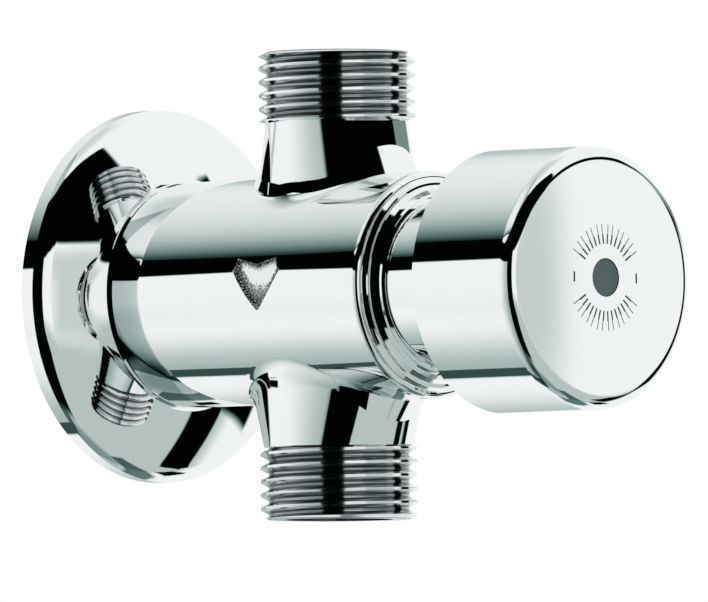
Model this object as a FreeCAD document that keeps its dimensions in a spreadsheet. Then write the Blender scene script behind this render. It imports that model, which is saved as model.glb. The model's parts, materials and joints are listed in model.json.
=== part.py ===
import FreeCAD, Part
import math
import os
import re
import Sketcher

# A straight wall-mounted urinal flush valve that closes by itself.
# Millimetres. The origin is on the wall, at the centre of the rosette's back rim, and +Z is up.
# A station is a distance from the wall along the valve's axis, which runs along -Y to the button.
# A height is a distance from that axis along the pipe, up to the inlet or down to the outlet.

# Driving dimensions
SIZES = {
    # body
    "body_radius": 15.15,
    "body_front": 52.9,
    "body_wall": 3.15,
    "body_front_round": 0.95,
    "body_back_chamfer": 0.4,
    "spigot_radius": 9.0,
    "spigot_back": 0.4,
    "fixing_bore": 3.4,
    "fixing_tip": 1.6,
    "fixing_wall": 2.2,
    # pipe
    "pipe_setback": 18.2,
    "pipe_bore": 7.2,
    "inlet_end": 31.65,
    "inlet_shoulder": 22.35,
    "inlet_neck": 9.45,
    "outlet_end": 30.8,
    "outlet_shoulder": 21.1,
    "outlet_neck": 10.0,
    "outlet_gap": 0.2,
    "stub_foot_radius": 11.0,
    "stub_foot": 6.0,
    "stub_fillet": 3.3,
    # G 1/2 thread
    "thread_radius": 10.4775,
    "thread_pitch": 1.8143,
    "thread_depth": 1.1,
    "thread_root_flat": 0.32,
    "thread_crest_flat": 0.34,
    "thread_core_gap": 0.15,
    "thread_start_chamfer": 1.05,
    "thread_run_out": 0.1,
    "inlet_thread_phase": -0.03,
    "outlet_thread_phase": -0.14,
    "collar_height": 2.9,
    "cut_over": 1.0,
    # water way from the inlet to the chamber behind the seat
    "way_half_width": 4.0,
    "way_cover": 1.75,
    "way_thickness": 1.7,
    "way_inset": 2.8,
    "way_bite": 1.0,
    "way_leg": 5.6,
    "way_leg_bottom": 4.0,
    # bores
    "chamber_gap": 0.6,
    "chamber_reach": 3.7,
    "seat_step": 2.6,
    "housing_seat": 1.8,
    "mouth_depth": 7.4,
    "mouth_chamfer": 0.5,
    # flow arrow
    "arrow_shift": 0.7,
    "arrow_half_width": 4.45,
    "arrow_corner": 2.1,
    "arrow_lobe_across": 3.6,
    "arrow_lobe": 4.25,
    "arrow_notch": 3.2,
    "arrow_tip": 3.5,
    "arrow_tip_flat": 0.25,
    "arrow_depth": 1.0,
    "arrow_wall": 0.75,
    # rosette
    "rosette_radius": 25.05,
    "rosette_side": 2.0,
    "rosette_round": 4.0,
    "rosette_shoulder": 23.2,
    "rosette_shoulder_height": 3.7,
    "rosette_dome": 45.0,
    "rosette_seat": 15.6,
    "rosette_height": 6.6,
    "rosette_wall": 1.3,
    "rosette_gap": 0.2,
    # bonnet
    "flange_step": 1.35,
    "flange_height": 1.2,
    "flange_chamfer": 0.5,
    "neck_wall": 1.9,
    "neck_chamfer": 0.5,
    "bonnet_wall_thickness": 2.2,
    "cup_wall": 1.7,
    "cup_depth": 5.2,
    # cartridge
    "nose_length": 6.0,
    "seat_wall": 1.4,
    "seat_lip": 0.5,
    "window_setback": 0.2,
    "window_reach": 3.3,
    "window_step": 1.3,
    "window_wall": 3.0,
    "window_hole": 2.3,
    "web_thickness": 2.2,
    "web_hole": 1.0,
    "web_hole_wall": 0.3,
    "housing_gap": 0.3,
    "housing_wall": 2.3,
    "housing_flange_thickness": 1.6,
    "stop_gap": 0.3,
    "cap_spigot": 1.2,
    "cap_length": 3.2,
    # seals
    "nose_ring_inset": 3.2,
    "nose_ring_section": 1.5,
    "nose_groove_width": 2.0,
    "gasket_thickness": 0.8,
    "cap_gasket_thickness": 0.6,
    "spindle_ring_section": 1.5,
    "spindle_groove_width": 1.9,
    "rosette_ring_section": 1.8,
    "ring_fit": 0.05,
    # spindle
    "spindle_radius": 2.0,
    "spindle_tail": 0.6,
    "spindle_grip": 5.0,
    "collar_radius": 3.0,
    "collar_length": 1.0,
    "clip_groove": 1.5,
    "clip_thickness": 0.8,
    "clip_radius": 3.0,
    "clip_fit": 0.05,
    "clip_gap_half": 0.6,
    # valve washer and its carrier
    "washer_thickness": 2.0,
    "carrier_gap": 0.7,
    "carrier_wall": 0.7,
    "carrier_plate": 1.4,
    "carrier_rim": 1.3,
    # piston
    "piston_length": 6.0,
    "piston_gap": 0.3,
    "lip_back": 1.3,
    "lip_width": 3.2,
    "lip_depth": 1.7,
    "lip_web": 0.8,
    "lip_leg": 0.6,
    "bush_radius": 0.9,
    "bush_bore": 0.35,
    "needle_radius": 0.28,
    "needle_gap": 0.42,
    "needle_reach": 0.6,
    "needle_seat": 1.6,
    # return spring
    "spring_wire": 0.9,
    "spring_gap": 1.05,
    "spring_length": 12.3,
    "spring_turns": 5,
    "spring_end_pitch": 1.4,
    "spring_seat_gap": 0.05,
    # fits
    "running_fit": 0.06,
    "guide_fit": 0.08,
    "static_fit": 0.1,
    "water_gap": 0.15,
    # button
    "button_reach": 5.55,
    "button_length": 18.85,
    "button_overlap": 6.9,
    "button_travel": 6.0,
    "button_dome": 200.0,
    "button_round": 2.05,
    "button_skirt": 1.8,
    "button_rim_chamfer": 0.15,
    "button_front_wall": 2.95,
    "boss_radius": 5.0,
    "boss_gap": 0.4,
    "guide_inset": 1.3,
    "guide_length": 4.0,
    "guide_step": 0.7,
    # screw and dot
    "screw_radius": 1.45,
    "screw_hole": 1.6,
    "screw_head": 2.35,
    "screw_head_height": 1.5,
    "screw_reach": 6.0,
    "screw_socket": 0.75,
    "screw_socket_depth": 0.8,
    "dot_radius": 2.45,
    "dot_thickness": 1.2,
    "dot_crown": 0.12,
    # spindle bush
    "bush_wall": 1.5,
    "bush_flange": 0.8,
    "bush_flange_wall": 1.0,
}

# Places worked out from the driving dimensions
PLACES = {
    "body_back": "rosette_height + rosette_gap",
    "body_lip": "body_front - body_front_round",
    "pipe_station": "body_front - pipe_setback",
    "bonnet_thread": "body_radius - body_wall",
    "front_bore": "bonnet_thread - housing_seat",
    "rear_bore": "front_bore - seat_step",
    "rear_bore_front": "pipe_station - chamber_reach",
    "housing_step": "body_front - mouth_depth",
    "chamber_back": "spindle_back - button_travel - chamber_gap",
    "fixing_end": "chamber_back - fixing_wall - fixing_tip",
    "thread_root": "thread_radius - thread_depth",
    "thread_core": "thread_root - thread_core_gap",
    "thread_flank": "(thread_pitch - thread_root_flat - thread_crest_flat) / 2",
    "groove_mouth_half": "(thread_pitch - thread_crest_flat) / 2 + cut_over * thread_flank / thread_depth",
    "way_roof": "body_radius - way_cover",
    "way_floor": "way_roof - way_thickness",
    "way_back": "chamber_back + way_inset",
    "inlet_floor": "way_roof - way_bite",
    "outlet_floor": "window_radius + outlet_gap",
    "inlet_collar": "inlet_shoulder - collar_height",
    "inlet_slope": "(stub_foot_radius - inlet_neck) / (inlet_shoulder - stub_foot)",
    "inlet_collar_radius": "inlet_neck + collar_height * inlet_slope",
    "outlet_collar": "outlet_shoulder - collar_height",
    "outlet_slope": "(stub_foot_radius - outlet_neck) / (outlet_shoulder - stub_foot)",
    "outlet_collar_radius": "outlet_neck + collar_height * outlet_slope",
    "ring_groove_floor": "spigot_radius - rosette_ring_section / 3",
    "ring_groove_back": "rosette_plate_back - rosette_ring_section - 2 * ring_fit",
    "rosette_hole": "spigot_radius + static_fit",
    "rosette_plate_back": "rosette_height - rosette_wall",
    "flange_front": "body_front + flange_height",
    "flange_radius": "neck_radius + flange_step",
    "bonnet_rear": "flange_back + housing_flange_thickness + static_fit",
    "bonnet_bore": "housing_radius + static_fit",
    "bonnet_wall": "cap_back + cap_length",
    "bonnet_cup": "neck_radius - cup_wall",
    "neck_radius": "bonnet_bore + neck_wall",
    "neck_front": "bonnet_front_face + cup_depth",
    "bonnet_front_face": "bonnet_wall + bonnet_wall_thickness",
    "housing_radius": "front_bore - housing_gap",
    "housing_flange": "bonnet_thread - housing_gap",
    "housing_shoulder": "pipe_station + pipe_bore + static_fit",
    "cylinder_bore": "housing_radius - housing_wall",
    "cylinder_front": "piston_clip_front + stop_gap + cap_spigot",
    "seat_station": "rear_bore_front - nose_length",
    "seat_hole": "nose_floor - seat_wall",
    "window_back": "rear_bore_front + window_setback",
    "window_front": "pipe_station + window_reach",
    "window_radius": "housing_radius - window_step",
    "window_bore": "window_radius - window_wall",
    "web_front": "window_front + web_thickness",
    "web_hole_offset": "cylinder_bore - web_hole - web_hole_wall",
    "nose_radius": "rear_bore - water_gap",
    "nose_floor": "rear_bore - nose_ring_section - 2 * ring_fit",
    "nose_groove_half": "nose_groove_width / 2",
    "nose_ring_station": "seat_station + nose_ring_inset",
    "flange_back": "housing_step + gasket_thickness",
    "cap_back": "cylinder_front + cap_gasket_thickness",
    "spindle_bore": "spindle_radius + running_fit",
    "spindle_groove_floor": "spindle_radius + spindle_ring_section + 2 * ring_fit",
    "spindle_groove_half": "spindle_groove_width / 2",
    "spindle_ring_station": "(cap_back + bonnet_wall) / 2",
    "spindle_back": "clip_back - spindle_tail",
    "spindle_front": "boss_rear + spindle_grip",
    "washer_back": "seat_station - washer_thickness",
    "carrier_radius": "rear_bore - carrier_gap",
    "washer_radius": "carrier_radius - carrier_wall",
    "carrier_back": "washer_back - carrier_plate",
    "clip_front": "carrier_back",
    "clip_back": "carrier_back - clip_thickness",
    "piston_radius": "cylinder_bore - piston_gap",
    "piston_rear": "web_front + spring_length",
    "piston_front": "piston_rear + piston_length",
    "collar_back": "piston_rear - collar_length",
    "lip_floor": "piston_radius - lip_depth",
    "lip_from": "piston_rear + lip_back",
    "lip_to": "lip_from + lip_width",
    "piston_clip_front": "piston_front + clip_thickness",
    "bush_offset": "clip_radius + needle_gap + needle_radius",
    "spring_radius": "cylinder_bore - spring_gap - spring_wire / 2",
    "button_radius": "neck_radius + button_reach",
    "button_rear": "neck_front - button_overlap",
    "button_face": "button_rear + button_length",
    "boss_rear": "bush_flange_front + button_travel + boss_gap",
    "guide_rear": "button_rear + guide_inset",
    "button_bore": "button_radius - button_skirt",
    "button_round_across": "button_radius - button_round",
    "button_round_lift": "sqrt((button_dome - button_round)^2 - button_round_across^2)",
    "button_side_end": "button_face - button_dome + button_round_lift",
    "button_face_across": "button_dome * button_round_across / (button_dome - button_round)",
    "button_slope": "button_round_lift / button_round_across",
    "button_face_edge": "button_face - button_dome + button_face_across * button_slope",
    "dot_dome": "(dot_radius^2 + dot_crown^2) / (2 * dot_crown)",
    "button_floor": "button_face - button_front_wall",
    "guide_front": "guide_rear + guide_length",
    "guide_bore": "neck_radius + guide_fit",
    "dot_rear": "button_face - dot_thickness",
    "dot_hole": "dot_radius + static_fit",
    "head_rear": "spindle_front + screw_head_height",
    "head_front": "head_rear + screw_head_height",
    "bush_radius_out": "spindle_bore + bush_wall",
    "bush_flange_front": "bonnet_front_face + bush_flange",
}

WORD = re.compile(r"[a-z_]+")
OUTWARD = FreeCAD.Placement(
    FreeCAD.Vector(0, 0, 0), FreeCAD.Rotation(FreeCAD.Vector(1, 0, 0), 90)
)

doc = FreeCAD.newDocument("urinal_flush_valve")
pieces = []


# The sheet of driving dimensions
def write_sheet():
    sheet = doc.addObject("Spreadsheet::Sheet", "Sizes")
    for row, (word, value) in enumerate(SIZES.items(), start=1):
        sheet.set(f"A{row}", word)
        sheet.set(f"B{row}", str(value))
        sheet.setAlias(f"B{row}", word)
    doc.recompute()
    return sheet


def cells(text):
    """The same length with every named value written as the sheet's cells."""

    def swap(match):
        word = match.group()
        if word in PLACES:
            return "(" + cells(PLACES[word]) + ")"
        return "Sizes." + word if word in SIZES else word

    return WORD.sub(swap, text)


def number(text):
    """The length that a text of named values comes to."""
    gauge.setExpression("Value", cells(text))
    gauge.recompute()
    return gauge.Value


def vector(across, along, depth=0.0):
    return FreeCAD.Vector(across, along, depth)


# Sketches
def sketch_on(body, role, name, lift=None):
    """A sketch on one of the body's own origin planes, lifted along the plane's normal."""
    sketch = body.newObject("Sketcher::SketchObject", f"{body.Name}_{name}")
    plane = next(f for f in body.Origin.OriginFeatures if f.Role == role)
    sketch.AttachmentSupport = [(plane, "")]
    sketch.MapMode = "FlatFace"
    if lift:
        sketch.setExpression("AttachmentOffset.Base.z", cells(lift))
    return sketch


def arc_between(start, end, radius, side):
    """The short arc of a radius from start to end, bulging to the left (1) or to the right (-1)."""
    chord = end - start
    half = chord.Length / 2
    rise = radius - math.sqrt(max(radius**2 - half**2, 0.0))
    left = vector(-chord.y, chord.x).normalize()
    return Part.Arc(start, (start + end) / 2 + left * rise * side, end)


def outline(sketch, points):
    """A closed outline. A point is (across, along), or has (radius, side) for an arc to the next."""
    spots = [vector(number(p[0]), number(p[1])) for p in points]
    ends = []
    for i, point in enumerate(points):
        start = spots[i]
        end = spots[(i + 1) % len(spots)]
        if len(point) > 2:
            radius, side = point[2]
            index = sketch.addGeometry(arc_between(start, end, number(radius), side), False)
            rule = sketch.addConstraint(Sketcher.Constraint("Radius", index, number(radius)))
            sketch.renameConstraint(rule, f"bend{i}")
            sketch.setExpression(f"Constraints.bend{i}", cells(radius))
        else:
            index = sketch.addGeometry(Part.LineSegment(start, end), False)
        turned_round = (sketch.getPoint(index, 1) - start).Length > 1e-6
        ends.append((index, 2, 1) if turned_round else (index, 1, 2))
    for i, point in enumerate(points):
        before = ends[i - 1]
        here = ends[i]
        sketch.addConstraint(Sketcher.Constraint("Coincident", before[0], before[2], here[0], here[1]))
        pin(sketch, "DistanceX", f"across{i}", here, point[0], spots[i].x, -2)
        pin(sketch, "DistanceY", f"along{i}", here, point[1], spots[i].y, -1)


def pin(sketch, kind, name, end, text, value, axis):
    """Hold one end of a line at a distance from an axis of the sketch, or on the axis."""
    if text == "0":
        sketch.addConstraint(Sketcher.Constraint("PointOnObject", end[0], end[1], axis))
        return
    rule = sketch.addConstraint(Sketcher.Constraint(kind, end[0], end[1], value))
    sketch.renameConstraint(rule, name)
    sketch.setExpression(f"Constraints.{name}", cells(text))


def circles(sketch, places):
    """Full circles, each (across, along, radius)."""
    for i, (across, along, radius) in enumerate(places):
        spot = vector(number(across), number(along))
        index = sketch.addGeometry(Part.Circle(spot, vector(0, 0, 1), number(radius)), False)
        pin(sketch, "DistanceX", f"across{i}", (index, 3), across, spot.x, -2)
        pin(sketch, "DistanceY", f"along{i}", (index, 3), along, spot.y, -1)
        rule = sketch.addConstraint(Sketcher.Constraint("Radius", index, number(radius)))
        sketch.renameConstraint(rule, f"radius{i}")
        sketch.setExpression(f"Constraints.radius{i}", cells(radius))


# Bodies and features
def new_piece(name):
    """A body whose own Z axis is the valve's axis, counted from the wall."""
    body = doc.addObject("PartDesign::Body", name)
    body.Label = name
    body.Placement = OUTWARD
    pieces.append(body)
    return body


def add(body, kind, name):
    """A new feature whose faces are kept as cut, because merging them breaks the stubs' fillet."""
    feature = body.newObject(f"PartDesign::{kind}", f"{body.Name}_{name}")
    feature.Refine = False
    return feature


def turn(body, name, points, cut=False, role="XZ_Plane", lift=None):
    """Turn an outline about its sketch's upright axis, as a new form or as a cut."""
    sketch = sketch_on(body, role, f"{name}_outline", lift)
    outline(sketch, points)
    feature = add(body, "Groove" if cut else "Revolution", name)
    feature.Profile = sketch
    feature.ReferenceAxis = (sketch, ["V_Axis"])
    feature.Angle = 360
    doc.recompute()
    return feature


def drill(body, name, role, lift, places, depth):
    """Cut round holes from a lifted sketch, along its plane's normal."""
    sketch = sketch_on(body, role, f"{name}_circles", lift)
    circles(sketch, places)
    pocket = add(body, "Pocket", name)
    pocket.Profile = sketch
    pocket.Type = "Length"
    pocket.setExpression("Length", cells(depth))
    pocket.Reversed = True
    before = body.Shape.Volume
    doc.recompute()
    check_cut(pocket, before)
    return pocket


def box_cut(body, name, corner, size):
    """Cut a box: its low corner and its lengths along the body's own axes."""
    box = add(body, "SubtractiveBox", name)
    plane = next(f for f in body.Origin.OriginFeatures if f.Role == "XY_Plane")
    box.AttachmentSupport = [(plane, "")]
    box.MapMode = "FlatFace"
    for axis, text in zip("xyz", corner):
        box.setExpression(f"AttachmentOffset.Base.{axis}", cells(text))
    for side, text in zip(("Length", "Width", "Height"), size):
        box.setExpression(side, cells(text))
    before = body.Shape.Volume
    doc.recompute()
    check_cut(box, before)


def check_cut(feature, before):
    if feature.Shape.Volume >= before - 1e-6:
        raise RuntimeError(f"{feature.Label} cuts nothing")


# Wall rosette
def wall_rosette():
    turn(
        new_piece("wall_rosette"),
        "shell",
        [
            ("rosette_radius - rosette_wall", "0"),
            ("rosette_radius", "0"),
            ("rosette_radius", "rosette_side", ("rosette_round", -1)),
            ("rosette_shoulder", "rosette_shoulder_height", ("rosette_dome", -1)),
            ("rosette_seat", "rosette_height"),
            ("rosette_hole", "rosette_height"),
            ("rosette_hole", "rosette_plate_back"),
            ("rosette_seat - rosette_wall / 2", "rosette_plate_back", ("rosette_dome", 1)),
            ("rosette_shoulder - rosette_wall / 2", "rosette_shoulder_height - rosette_wall"),
            ("rosette_radius - rosette_wall", "rosette_side - rosette_wall / 2"),
        ],
    )


# Valve body
def valve_body():
    body = new_piece("valve_body")
    turn(
        body,
        "barrel",
        [
            ("0", "spigot_back"),
            ("spigot_radius", "spigot_back"),
            ("spigot_radius", "ring_groove_back"),
            ("ring_groove_floor", "ring_groove_back"),
            ("ring_groove_floor", "rosette_plate_back"),
            ("spigot_radius", "rosette_plate_back"),
            ("spigot_radius", "body_back"),
            ("body_radius - body_back_chamfer", "body_back"),
            ("body_radius", "body_back + body_back_chamfer"),
            ("body_radius", "body_lip", ("body_front_round", -1)),
            ("body_radius - body_front_round", "body_front"),
            ("0", "body_front"),
        ],
    )
    sink_arrow(body)
    turn_pipe(
        body,
        "stubs",
        [
            ("0", "-outlet_collar"),
            ("outlet_collar_radius", "-outlet_collar"),
            ("stub_foot_radius", "-stub_foot"),
            ("stub_foot_radius", "stub_foot"),
            ("inlet_collar_radius", "inlet_collar"),
            ("0", "inlet_collar"),
        ],
    )
    blend_stubs(body)
    turn(
        body,
        "bores",
        [
            ("0", "chamber_back"),
            ("rear_bore", "chamber_back"),
            ("rear_bore", "rear_bore_front"),
            ("front_bore", "rear_bore_front"),
            ("front_bore", "housing_step"),
            ("bonnet_thread", "housing_step"),
            ("bonnet_thread", "body_front - mouth_chamfer"),
            ("bonnet_thread + mouth_chamfer + cut_over", "body_front + cut_over"),
            ("0", "body_front + cut_over"),
        ],
        cut=True,
    )
    turn(
        body,
        "fixing",
        [
            ("0", "spigot_back - cut_over"),
            ("fixing_bore", "spigot_back - cut_over"),
            ("fixing_bore", "fixing_end"),
            ("0", "fixing_end + fixing_tip"),
        ],
        cut=True,
    )
    box_cut(
        body,
        "way_roof",
        ("-way_half_width", "way_floor", "way_back"),
        ("2 * way_half_width", "way_thickness", "pipe_station - way_back"),
    )
    box_cut(
        body,
        "way_leg",
        ("-way_half_width", "way_leg_bottom", "way_back"),
        ("2 * way_half_width", "way_roof - way_leg_bottom", "way_leg"),
    )
    thread_start = "thread_pitch + thread_run_out"
    add_connection(body, "inlet", "", f"inlet_shoulder - {thread_start}", "inlet_thread_phase")
    add_connection(body, "outlet", "-", "-outlet_end - thread_pitch", "outlet_thread_phase")


def add_connection(body, name, sign, thread_from, phase):
    """A threaded end: its blank, its thread, the neck over the thread's run-out, and its bore."""
    collar = f"{sign}{name}_collar"
    shoulder = f"{sign}{name}_shoulder"
    end = f"{sign}{name}_end"
    inward = "+ thread_start_chamfer / 2" if sign else "- thread_start_chamfer / 2"
    turn_pipe(
        body,
        f"{name}_blank",
        [
            ("0", collar),
            ("thread_core", collar),
            ("thread_core", shoulder),
            ("thread_radius", shoulder),
            ("thread_radius", f"{end} {inward}"),
            ("thread_radius - thread_start_chamfer", end),
            ("0", end),
        ],
    )
    cut_thread(body, f"{name}_thread", f"{thread_from} + {phase}", f"{name}_end - {name}_shoulder")
    turn_pipe(
        body,
        f"{name}_neck",
        [
            ("pipe_bore + thread_core_gap", collar),
            (f"{name}_collar_radius", collar),
            (f"{name}_neck", shoulder),
            ("pipe_bore + thread_core_gap", shoulder),
        ],
    )
    floor = f"{sign}{name}_floor"
    past = f"{end} {sign or '+'} cut_over"
    way = [("0", floor), ("pipe_bore", floor), ("pipe_bore", past), ("0", past)]
    turn_pipe(body, f"{name}_bore", way, cut=True)


def turn_pipe(body, name, points, cut=False):
    """Turn an outline about the pipe's axis."""
    return turn(body, name, points, cut, "XY_Plane", "pipe_station")


def cut_thread(body, name, start, length):
    """Cut a right-hand groove about the pipe, from below the blank to past its other end."""
    sketch = sketch_on(body, "XY_Plane", f"{name}_groove", "pipe_station")
    outline(
        sketch,
        [
            ("thread_root", f"{start} - thread_root_flat / 2"),
            ("thread_radius + cut_over", f"{start} - groove_mouth_half"),
            ("thread_radius + cut_over", f"{start} + groove_mouth_half"),
            ("thread_root", f"{start} + thread_root_flat / 2"),
        ],
    )
    groove = add(body, "SubtractiveHelix", name)
    groove.Profile = sketch
    groove.ReferenceAxis = (sketch, ["V_Axis"])
    groove.Mode = "pitch-height-angle"
    groove.setExpression("Pitch", cells("thread_pitch"))
    groove.setExpression("Height", cells(f"{length} + 2 * thread_pitch"))
    before = body.Shape.Volume
    doc.recompute()
    check_cut(groove, before)


def blend_stubs(body):
    """Round the corner where each stub leaves the barrel."""
    barrel = number("body_radius")
    seams = []
    under = body.Tip
    form = under.Shape
    for index, edge in enumerate(form.Edges, start=1):
        kinds = [face.Surface for face in form.ancestorsOfType(edge, Part.Face)]
        on_barrel = any(isinstance(k, Part.Cylinder) and abs(k.Radius - barrel) < 1e-6 for k in kinds)
        on_stub = any(isinstance(k, Part.Cone) and abs(k.Axis.z) < 0.5 for k in kinds)
        if on_barrel and on_stub:
            seams.append(f"Edge{index}")
    fillet = add(body, "Fillet", "stub_fillet")
    fillet.Base = (under, seams)
    fillet.setExpression("Radius", cells("stub_fillet"))
    doc.recompute()


def arrow_outline(sketch, inset):
    """A notched arrowhead that points down the pipe, drawn across the valve's side."""
    middle = "(pipe_station - arrow_shift)"
    corner = f"(arrow_half_width - {inset})"
    lobe = f"(arrow_lobe - {inset})"
    notch = f"(arrow_notch - {inset})"
    tip = f"(arrow_tip - 1.6 * {inset})"
    flat = "arrow_tip_flat"
    outline(
        sketch,
        [
            (f"-{tip}", f"{middle} + {flat}"),
            ("arrow_corner", f"{middle} + {corner}", ("arrow_lobe", -1)),
            (lobe, f"{middle} + arrow_lobe_across"),
            (notch, middle),
            (lobe, f"{middle} - arrow_lobe_across", ("arrow_lobe", -1)),
            ("arrow_corner", f"{middle} - {corner}"),
            (f"-{tip}", f"{middle} - {flat}"),
        ],
    )


def sink_arrow(body):
    """Sink the flow arrow into the side that faces -X, with sloping walls and a flat floor."""
    mouth = sketch_on(body, "YZ_Plane", "arrow_mouth", "-(body_radius + arrow_wall)")
    arrow_outline(mouth, "(-arrow_wall * arrow_wall / arrow_depth)")
    floor = sketch_on(body, "YZ_Plane", "arrow_floor", "-(body_radius - arrow_depth)")
    arrow_outline(floor, "arrow_wall")
    loft = add(body, "SubtractiveLoft", "arrow")
    loft.Profile = mouth
    loft.Sections = [floor]
    loft.Ruled = True
    before = body.Shape.Volume
    doc.recompute()
    check_cut(loft, before)


# Bonnet
def bonnet():
    body = new_piece("bonnet")
    turn(
        body,
        "shell",
        [
            ("bonnet_bore", "bonnet_rear"),
            ("bonnet_thread - static_fit", "bonnet_rear"),
            ("bonnet_thread - static_fit", "body_front"),
            ("flange_radius", "body_front"),
            ("flange_radius", "flange_front - flange_chamfer"),
            ("flange_radius - flange_chamfer", "flange_front"),
            ("neck_radius", "flange_front"),
            ("neck_radius", "neck_front - neck_chamfer"),
            ("neck_radius - neck_chamfer", "neck_front"),
            ("bonnet_cup", "neck_front"),
            ("bonnet_cup", "bonnet_front_face"),
            ("bush_radius_out + ring_fit", "bonnet_front_face"),
            ("bush_radius_out + ring_fit", "bonnet_wall"),
            ("bonnet_bore", "bonnet_wall"),
        ],
    )


# Cartridge housing
def cartridge_housing():
    body = new_piece("cartridge_housing")
    turn(
        body,
        "shell",
        [
            ("seat_hole", "seat_station"),
            ("seat_hole + seat_lip", "seat_station"),
            ("nose_radius", "seat_station + seat_lip"),
            ("nose_radius", "nose_ring_station - nose_groove_half"),
            ("nose_floor", "nose_ring_station - nose_groove_half"),
            ("nose_floor", "nose_ring_station + nose_groove_half"),
            ("nose_radius", "nose_ring_station + nose_groove_half"),
            ("nose_radius", "rear_bore_front"),
            ("window_radius", "window_back"),
            ("window_radius", "housing_shoulder"),
            ("housing_radius", "housing_shoulder"),
            ("housing_radius", "flange_back"),
            ("housing_flange", "flange_back"),
            ("housing_flange", "flange_back + housing_flange_thickness"),
            ("housing_radius", "flange_back + housing_flange_thickness"),
            ("housing_radius", "cylinder_front"),
            ("cylinder_bore", "cylinder_front"),
            ("cylinder_bore", "web_front"),
            ("spindle_bore", "web_front"),
            ("spindle_bore", "window_front"),
            ("window_bore", "window_front"),
            ("window_bore", "window_back"),
            ("seat_hole", "window_back"),
        ],
    )
    window = ("0", "(window_back + window_front) / 2", "window_hole")
    through = "2 * window_radius + 2 * cut_over"
    for name, role in (("side_windows", "YZ_Plane"), ("upright_windows", "XZ_Plane")):
        drill(body, name, role, "-window_radius - cut_over", [window], through)
    holes = [
        ("web_hole_offset", "0", "web_hole"),
        ("-web_hole_offset", "0", "web_hole"),
        ("0", "web_hole_offset", "web_hole"),
        ("0", "-web_hole_offset", "web_hole"),
    ]
    drill(body, "web_holes", "XY_Plane", "window_front - cut_over", holes, "web_thickness + 2 * cut_over")
    seat = [("bush_offset", "0", "needle_radius + ring_fit")]
    drill(body, "needle_seat", "XY_Plane", "web_front - needle_seat", seat, "needle_seat + cut_over")


# Flat rings and round rings
def flat_ring(name, inner, outer, back, front):
    turn(new_piece(name), "ring", [(inner, back), (outer, back), (outer, front), (inner, front)])


def round_ring(name, inner, section, station):
    """An O-ring: its inner radius, its section and the station of its middle."""
    body = new_piece(name)
    sketch = sketch_on(body, "XZ_Plane", "section")
    circles(sketch, [(f"{inner} + {section} / 2", station, f"{section} / 2")])
    ring = add(body, "Revolution", "ring")
    ring.Profile = sketch
    ring.ReferenceAxis = (sketch, ["V_Axis"])
    ring.Angle = 360
    doc.recompute()


def seals():
    round_ring("nose_o_ring", "nose_floor + ring_fit", "nose_ring_section", "nose_ring_station")
    round_ring(
        "spindle_o_ring",
        "spindle_radius + ring_fit",
        "spindle_ring_section",
        "spindle_ring_station",
    )
    round_ring(
        "rosette_o_ring",
        "ring_groove_floor + ring_fit",
        "rosette_ring_section",
        "rosette_plate_back - ring_fit - rosette_ring_section / 2",
    )
    flat_ring("housing_gasket", "front_bore", "housing_flange", "housing_step", "flange_back")
    flat_ring("cap_gasket", "cylinder_bore", "housing_radius", "cylinder_front", "cap_back")


# Cylinder cap
def cylinder_cap():
    turn(
        new_piece("cylinder_cap"),
        "plug",
        [
            ("spindle_bore", "cylinder_front - cap_spigot"),
            ("cylinder_bore - static_fit", "cylinder_front - cap_spigot"),
            ("cylinder_bore - static_fit", "cap_back"),
            ("housing_radius", "cap_back"),
            ("housing_radius", "bonnet_wall"),
            ("spindle_bore", "bonnet_wall"),
            ("spindle_bore", "spindle_ring_station + spindle_groove_half"),
            ("spindle_groove_floor", "spindle_ring_station + spindle_groove_half"),
            ("spindle_groove_floor", "spindle_ring_station - spindle_groove_half"),
            ("spindle_bore", "spindle_ring_station - spindle_groove_half"),
        ],
    )


# Spindle bush
def spindle_bush():
    turn(
        new_piece("spindle_bush"),
        "sleeve",
        [
            ("spindle_bore", "bonnet_wall"),
            ("bush_radius_out", "bonnet_wall"),
            ("bush_radius_out", "bonnet_front_face"),
            ("bush_radius_out + bush_flange_wall", "bonnet_front_face"),
            ("bush_radius_out + bush_flange_wall", "bush_flange_front"),
            ("spindle_bore", "bush_flange_front"),
        ],
    )


# Metering needle and its bush
def metering_needle():
    body = new_piece("metering_needle")
    sketch = sketch_on(body, "XY_Plane", "section", "web_front - needle_seat")
    circles(sketch, [("bush_offset", "0", "needle_radius")])
    pad = add(body, "Pad", "pin")
    pad.Profile = sketch
    pad.setExpression("Length", cells("piston_front + needle_reach - web_front + needle_seat"))
    doc.recompute()


def metering_bush():
    body = new_piece("metering_bush")
    sketch = sketch_on(body, "XY_Plane", "section", "piston_rear")
    circles(sketch, [("bush_offset", "0", "bush_radius"), ("bush_offset", "0", "bush_bore")])
    pad = add(body, "Pad", "tube")
    pad.Profile = sketch
    pad.setExpression("Length", cells("piston_length"))
    doc.recompute()


# Piston and its lip seal
def piston():
    body = new_piece("piston")
    turn(
        body,
        "form",
        [
            ("spindle_bore", "piston_rear"),
            ("piston_radius", "piston_rear"),
            ("piston_radius", "lip_from"),
            ("lip_floor", "lip_from"),
            ("lip_floor", "lip_to"),
            ("piston_radius", "lip_to"),
            ("piston_radius", "piston_front"),
            ("spindle_bore", "piston_front"),
        ],
    )
    hole = [("bush_offset", "0", "bush_radius + ring_fit")]
    drill(body, "bush_hole", "XY_Plane", "piston_rear - cut_over", hole, "piston_length + 2 * cut_over")


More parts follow.
